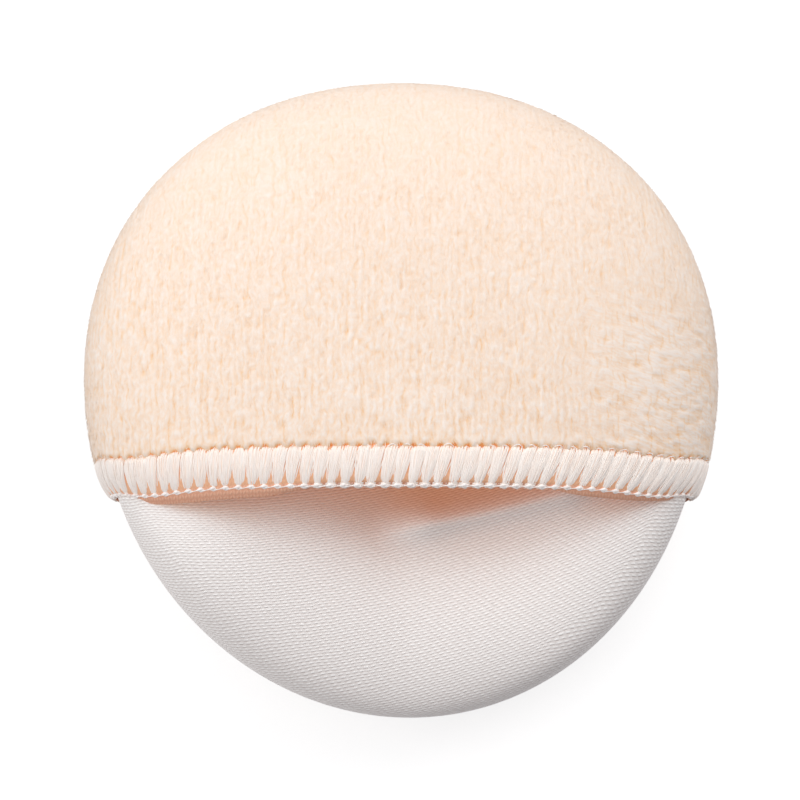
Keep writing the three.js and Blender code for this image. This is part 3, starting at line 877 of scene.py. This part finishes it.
def hem_grid(rows=25, columns=900, tucked_in=1.25):
    """Grid on the pocket's skin beside its lip: rows at even distances behind the lip, columns at even shares.

    The half-width of a row is the outline's times the root of the squared share out less the squared share along.
    """
    turn, tuck = np.linspace(0, math.pi / 2, 400), np.linspace(0, tucked_in, 80)[1:]
    reach = np.concatenate([np.broadcast_to(POCKET, turn.shape + (3,)), mix(SEAM, POCKET, np.cos(tuck)[:, None])])

    def level(out):
        return WIDEST_Z + POCKET_DOME * np.clip(1 - out**DOME_POWER, 0, 1) ** (1 / DOME_POWER)

    made = []
    for behind in np.linspace(HEM_LOW, HEM_HIGH, rows):
        crown = 0.0
        for _ in range(40):
            crown = abs(lip_y(level(crown), behind) - WIDEST_Y) / POCKET[2]
        out = np.hypot(crown * np.cos(turn), np.sin(turn))
        z = np.concatenate([level(out), mix(WIDEST_Z, POCKET_SEAM, np.sin(tuck))])
        share = np.concatenate([out, np.ones_like(tuck)])
        y = lip_y(z, behind)
        x = reach[:, 0] * np.sqrt(np.maximum(0, share**2 - ((y - WIDEST_Y) / reach[:, 2]) ** 2))
        half = np.stack([x, y, z], -1)
        whole = np.concatenate([half[:0:-1] * [-1, 1, 1], half])
        whole[:, 0] += drift(whole[:, 1])
        run = lengths(whole)
        even = np.linspace(0, run[-1], columns)
        made.append(np.stack([np.interp(even, run, whole[:, k]) for k in range(3)], -1))
    return np.array(made)


OUTER_HEM = hem_grid()
OUTER_NORMAL = normals_of(OUTER_HEM)
HEM_LENGTH = float(lengths(OUTER_HEM[4])[-1])
STITCHES = int(HEM_LENGTH / STITCH) - 1
FIRST_HEAD = (HEM_LENGTH - STITCHES * STITCH) / 2 + STITCH / 2 + 0.6


def beside_lip(along, behind, off):
    """Place at a length along the lip, a distance behind it and a height off the skin, and the normal there."""
    rows, columns = OUTER_HEM.shape[:2]
    r = np.clip((behind - HEM_LOW) / (HEM_HIGH - HEM_LOW), 0, 1) * (rows - 1.001)
    c = np.clip(along / HEM_LENGTH, 0, 1) * (columns - 1.001)
    i, j = r.astype(int), c.astype(int)
    place, normal = (between(grid, i, j, r - i, c - j) for grid in (OUTER_HEM, OUTER_NORMAL))
    return place + normal * off[..., None], normal


def slant_of(along):
    """How far a stitch's head lies to the right of its foot, more and more towards the right end of the lip."""
    return 1.25 + 0.8 * ease((along / HEM_LENGTH - 0.55) / 0.4)


def roll(behind):
    """Depth of the hem's rounded edge under the plain skin, growing with the power 2.5 towards the lip."""
    return 0.8 * np.clip(1 - behind / HEM, 0, 1.1) ** 2.5


def middle_of(along):
    """1 along the lip, falling to 0 over the last tenth at either end."""
    return ease((0.5 - np.abs(along / HEM_LENGTH - 0.5)) / 0.1)


def sewn(name, finish, *tubes):
    """Mesh object of several lots of tubes, each on its own part of the map."""
    points, faces, maps, count = [], [], [], 0
    for place, lots, uv in tubes:
        faces += [lot + count for lot in lots]
        points.append(place)
        maps.append(uv + [0, 5000 * len(maps)])
        count += len(place)
    return plant(name, np.concatenate(points), faces, finish, np.concatenate(maps))


def overlock_bundles(finish, rng):
    """Upper looper of the overlock: each stitch is a plump flat bundle of filaments outside the lip.

    A bundle comes round the lip, widens to the needle line and dives into the velour there. Its body is a flat
    tube; the filaments lie over it in an arch.
    """
    filaments, steps = 13, 18
    many, each = (STITCHES, 1, 1), (STITCHES, filaments, 1)
    at = (FIRST_HEAD + STITCH * np.arange(STITCHES) + rng.normal(0, 0.05, STITCHES))[:, None, None]
    slant = slant_of(at) + rng.normal(0, 0.1, many)
    foot = mix(0.46, 0.56, ease((at / HEM_LENGTH - 0.45) / 0.3)) + rng.normal(0, 0.04, many)
    head = 0.88 + rng.normal(0, 0.02, many)
    rolled = mix(END_ROLL, 1.0, middle_of(at))

    def laid(across, t, top):
        width = mix(foot, head, np.clip(t / 0.72, 0, 1) ** 0.9) * np.minimum(1, 0.85 + 2.5 * t)
        behind = mix(mix(-0.1, -0.6, middle_of(at)), top, t)
        sunk = 0.1 + rolled * roll(behind) + 0.5 * ease((t - 0.88) / 0.12) + 0.25 * ease((0.1 - t) / 0.1)
        return at + across * width + slant * (t - 1), behind, width, sunk

    t = np.linspace(0, 1, steps)
    along, behind, width, sunk = laid(np.zeros(many), t, HEM + 0.35)
    path, up = beside_lip(along, behind, -0.3 - sunk)
    flat = (STITCHES, steps)
    body = tube_of(path.reshape(*flat, 3), 0.2, 10, up.reshape(*flat, 3), np.reshape(width * 0.9, flat))
    across = np.linspace(-1, 1, filaments)[:, None] + rng.normal(0, 0.05, each)
    top = HEM + 0.58 - 0.42 * np.abs(across) ** 5 + rng.normal(0, 0.03, each)
    along, behind, width, sunk = laid(across, t, top)
    along = along + 0.04 * np.sin(t * 7 + rng.uniform(0, 6.3, each))
    arch = np.sqrt(np.clip(1 - (across / 1.15) ** 2, 0, 1))
    path, up = beside_lip(along, behind, -0.4 - sunk + 0.36 * arch + rng.normal(0, 0.012, each))
    hair = tube_of(path.reshape(-1, steps, 3), FILAMENT, 5)
    return sewn("overlock_upper_looper_bundles", finish, body, hair)


def purl_edge(finish, rng):
    """Edge of the overlock: the two looper threads cross at the lip, thick below each bundle and thin between.

    Between two bundles a small loop of the lower thread stands up.
    """
    turns = 4.0 + np.arange(int((STITCHES - 7.5) * 16)) / 16
    heads = FIRST_HEAD + (turns - 0.25) * STITCH
    along = heads - slant_of(heads)
    knot = (0.5 + 0.5 * np.cos(TURN * (turns - 0.25))) ** 1.6
    strands = []
    for phase in (0.0, math.pi):
        angle = math.pi * turns + phase
        off = -0.32 - 0.8 * mix(END_ROLL, 1.0, middle_of(along)) + mix(0.05, 0.14, knot) * np.cos(angle)
        strands.append(beside_lip(along, -0.42 + 0.1 * np.sin(angle), off)[0])
    thick = (0.05 + 0.19 * knot) * mix(0.75, 1.0, middle_of(along))
    edge = tube_of(np.stack(strands), thick, 8)
    t = np.linspace(0, 1, 10)
    heads = FIRST_HEAD + STITCH * (np.arange(3, STITCHES - 4)[:, None] + 0.5)
    tall = rng.uniform(0.25, 0.8, (STITCHES - 7, 1)) * np.sin(math.pi * t)
    beside = heads - slant_of(heads) + 0.26 * np.cos(math.pi * t) + 0.35 * tall
    loops = tube_of(beside_lip(beside, -0.2 + tall, -0.42 - roll(-0.2 + tall))[0], LOOP, 6)
    return sewn("overlock_lower_looper_purl", finish, edge, loops)


def needle_loops(finish, rng):
    """Needle thread: an arch behind each stitch, sunk in the pile on the left and clear of it on the right."""
    t = np.linspace(0, 1, 12)
    at = FIRST_HEAD + STITCH * (np.arange(STITCHES)[:, None] - 0.5 + t)
    hump = np.sin(math.pi * t) * rng.uniform(0.75, 1.1, (STITCHES, 1))
    clear = ease((at - 0.42 * HEM_LENGTH) / 8)
    path = beside_lip(at, HEM + 0.15 + 0.45 * hump, -0.9 + mix(0.35, 0.75, clear) * hump)[0]
    return sewn("overlock_needle_loops", finish, tube_of(path, LOOP, 6))


def rim_stitches(name, level, side, finish):
    """Rim seam thread: once round the turned-in edges, 1.5 inside the fold, with a wave for each stitch of 3."""
    inside, stitch, radius = 1.5, 3.0, 0.2
    turn = np.linspace(-math.pi / 2 + 0.03, 1.5 * math.pi - 0.03, 1200)
    x, y = plan(SEAM - inside, turn, 1.0)
    run = lengths(np.stack([x, y], -1))
    z = level(plan(PAD, turn, 1.0)[1]) + side * (0.62 + 0.15 * np.cos(TURN * run / stitch))
    return sewn(name, finish, tube_of(np.stack([x, y, z], -1)[None], radius, 6))


def floor():
    """Plain pale floor. The camera and mirrors see it whiter than it lights, and it keeps the puff's shadow."""
    made, tree, shader = finish_of("pale_floor", Base_Color=(0.45, 0.45, 0.45, 1), Roughness=0.9,
                                   Specular_IOR_Level=0.0, Emission_Color=(1, 1, 1, 1))
    path = put(tree, "LightPath").outputs
    mirrored = calc(tree, "MAXIMUM", path["Is Glossy Ray"], path["Is Transmission Ray"])
    seen = calc(tree, "MAXIMUM", path["Is Camera Ray"], mirrored)
    tree.links.new(calc(tree, "MULTIPLY", seen, 0.72), shader.inputs["Emission Strength"])
    wide, below = 1500.0, 0.05
    corners = np.array([[-1, -1, 0], [1, -1, 0], [1, 1, 0], [-1, 1, 0]]) * wide - [0, 0, below]
    plant("floor", corners, np.array([[0, 1, 2, 3]]), made)


def lamp(name, place, power, size):
    """Square soft lamp that faces the puff."""
    data = bpy.data.lights.new(name, "AREA")
    data.energy, data.size = power, size
    thing = bpy.data.objects.new(name, data)
    thing.location = np.array(place) * MM
    middle = Vector((0, 0, 15 * MM))
    thing.rotation_mode = "QUATERNION"
    thing.rotation_quaternion = (middle - thing.location).to_track_quat("-Z", "Y")
    bpy.context.scene.collection.objects.link(thing)


def studio():
    """Soft lamps from the rear, the right and the left, and an even pale surround."""
    lamp("rear", (0, 480, 380), 0.6, 0.5)
    lamp("right", (280, 300, 450), 2.15, 0.5)
    lamp("left", (-480, -100, 300), 1.3, 0.4)
    lamp("rear_left", (-420, 220, 350), 0.6, 0.4)
    world = bpy.data.worlds.new("surround")
    world.use_nodes = True
    tree = world.node_tree
    tree.nodes.clear()
    path = put(tree, "LightPath").outputs
    seen = calc(tree, "MAXIMUM", path["Is Camera Ray"], path["Is Glossy Ray"])
    strength = calc(tree, "MULTIPLY_ADD", seen, 0.64, 0.36)
    glow = put(tree, "Background", Color=(0.97, 0.95, 1, 1), Strength=strength)
    put(tree, "OutputWorld", Surface=glow.outputs[0])
    bpy.context.scene.world = world
    bpy.context.scene.view_settings.view_transform = "Standard"


def camera():
    """Camera 78 degrees above the horizon in front of the mouth, half a metre off, on a long lens."""
    tilt, off = math.radians(78), 500
    aim = np.array([-0.126, -0.043, 11.99])
    data = bpy.data.cameras.new("camera")
    data.lens, data.sensor_width = 177.99, 36.0
    data.clip_start, data.clip_end = 0.01, 20.0
    thing = bpy.data.objects.new("camera", data)
    thing.location = (aim + off * np.array([0, -math.cos(tilt), math.sin(tilt)])) * MM
    thing.rotation_euler = (math.pi / 2 - tilt, 0, 0)
    bpy.context.scene.collection.objects.link(thing)
    bpy.context.scene.camera = thing


def settle(piece, slot, *nodes):
    """The piece rides on the puff's one body and stands for CAD nodes, which it hides. Its slot is not used."""
    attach(piece, "root")
    if nodes:
        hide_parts(*nodes)
    return piece


camera()
studio()
floor()
rng = np.random.default_rng(7)

pocket_ground = ground_finish("pocket_ground_velour", linear(230, 168, 138), linear(240, 188, 158),
                              linear(236, 180, 142))
face_ground = ground_finish("face_ground_velour", linear(238, 180, 130), linear(250, 205, 160),
                            linear(252, 208, 166))
pile = pile_finish("velour_pile", linear(240, 208, 176), linear(244, 231, 218))
yarn = yarn_finish("white_yarn", linear(246, 230, 218), linear(255, 253, 249), 7.0)
fine_yarn = yarn_finish("fine_white_yarn", linear(235, 224, 216), linear(255, 252, 250), 5.0)
# The bed's root and gap colours are painted shade: deep orange in the dimples and at the rolled edge, darker orange
# between the tufts.
bed = velour_finish("velour_bed", linear(244, 160, 96), linear(240, 200, 156), linear(244, 232, 221))

satin, satin_cut = satin_back()
settle(satin, "satin", "satin_back")
face, face_cut = face_panel(face_ground)
settle(face, "face_velour", "face_velour")
pocket, pocket_cut = pocket_panel(pocket_ground)
settle(pocket, "pocket_velour", "pocket_velour")
pad = settle(filling(), "filling", "filling_pad")

# The pile's fibres are rooted 0.4 below the skin
pocket_skirt = pocket_square(HEM + 0.15, 0.0, 213, 401, last=2.0)
pocket_bed = settle(pile_bed("pocket_pile_bed", pocket_skirt, bed, 1.0), "pocket_velour")
pocket_roots = pocket_square(HEM + 1.0, 0.4, 241, 361, last=2.0)
pocket_pile = settle(pile_of("pocket_pile", pocket_roots, pocket_lean, pile, rng), "pocket_velour")
face_top, face_roots = (laid_on(face_skin, 3.0, 289, depth)[::-1] for depth in (0.0, 0.4))
face_bed = settle(pile_bed("face_pile_bed", face_top, bed, 0.0), "face_velour")
face_pile = settle(pile_of("face_pile", face_roots, face_lean, pile, rng, 0.03), "face_velour")
hem = [
    settle(overlock_bundles(yarn, rng), "overlock_thread", "overlock_upper_looper"),
    settle(purl_edge(fine_yarn, rng), "overlock_thread", "overlock_lower_looper"),
    settle(needle_loops(fine_yarn, rng), "overlock_thread", "overlock_needle_thread"),
]
settle(rim_stitches("rim_needle_stitches", lambda y: FACE_SEAM - VELOUR, -1, fine_yarn),
       "rim_thread", "rim_needle_thread")
settle(rim_stitches("rim_bobbin_stitches", lambda y: satin_seam(y) + SATIN, 1, fine_yarn),
       "rim_thread", "rim_bobbin_thread")
